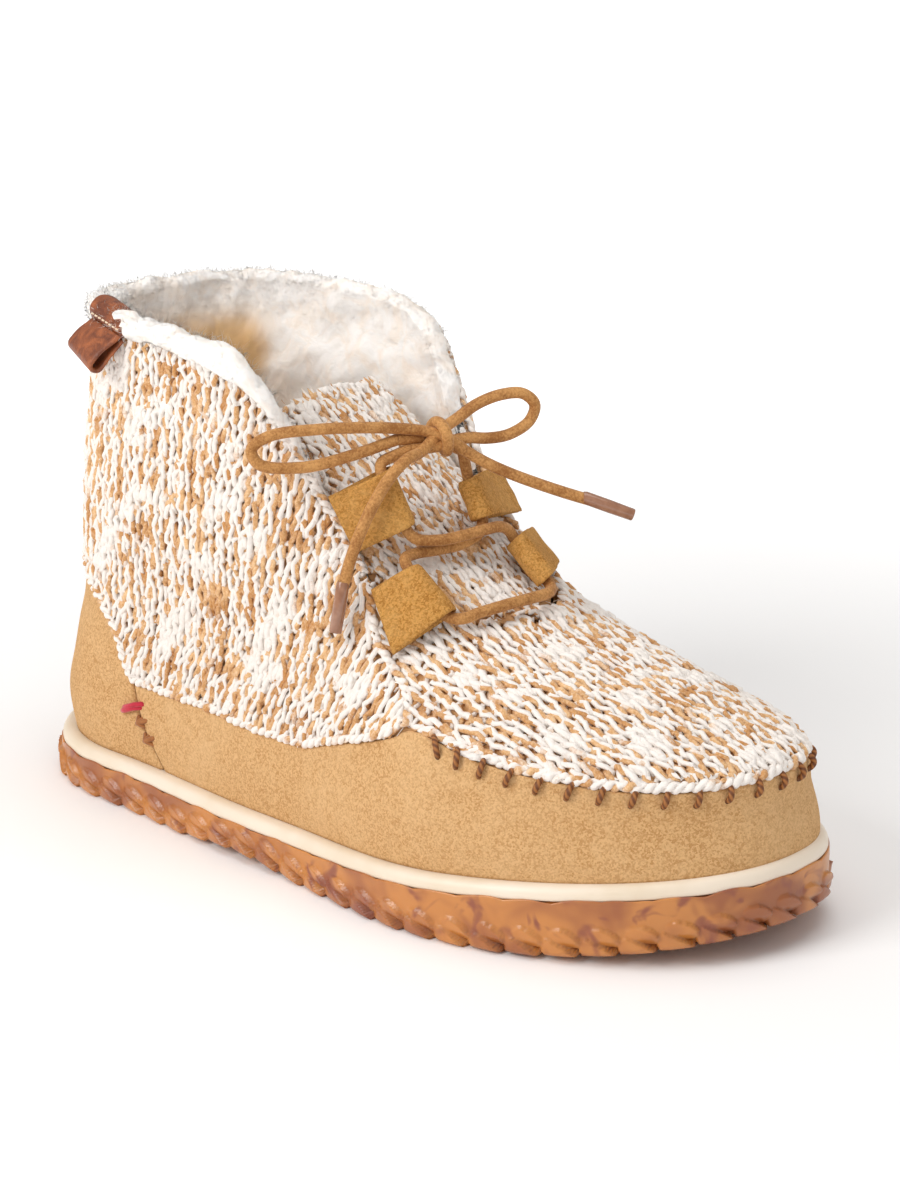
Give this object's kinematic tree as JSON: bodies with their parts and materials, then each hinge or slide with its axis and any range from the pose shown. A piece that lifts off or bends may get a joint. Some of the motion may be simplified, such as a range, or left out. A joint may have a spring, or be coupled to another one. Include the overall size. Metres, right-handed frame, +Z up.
{
  "type": "mukluk boot",
  "caption": "Ankle slipper boot for the right foot: marled knit upper, suede surround, fleece lining, lace through suede keepers, lugged gum sole.",
  "frame": {"origin": "on the ground, at the middle of the sole's length and width", "axes": "+X towards the toe, +Y towards the inner side of the right foot, +Z up"},
  "size_m": [0.2559, 0.1082, 0.1494],
  "materials": {
    "gum": "marbled gum rubber, slightly glossy",
    "cream": "smooth matt moulded rubber",
    "footbed": "soft pile footbed",
    "knit": "chunky marled knit, white and tan",
    "suede": "tan suede with a short nap",
    "keeper_suede": "golden suede",
    "fleece": "off-white fleece",
    "lace": "round waxed lace",
    "aglet": "clear tube over the lace",
    "tab_leather": "smooth brown leather"
  },
  "bodies": {
    "root": {"outsole": "gum", "midsole": "cream", "insole": "footbed", "upper": "knit", "suede_surround": "suede", "heel_counter": "suede", "tongue": "knit", "fleece_lining": "fleece", "keeper_outer_top": "keeper_suede", "keeper_outer_low": "keeper_suede", "keeper_inner_top": "keeper_suede", "keeper_inner_low": "keeper_suede", "pull_tab": "tab_leather", "lace_run": "lace", "lace_knot": "lace", "lace_loop_outer": "lace", "lace_loop_inner": "lace", "lace_end_outer": "lace", "lace_end_inner": "lace", "aglet_outer": "aglet", "aglet_inner": "aglet"}
  },
  "joints": []
}
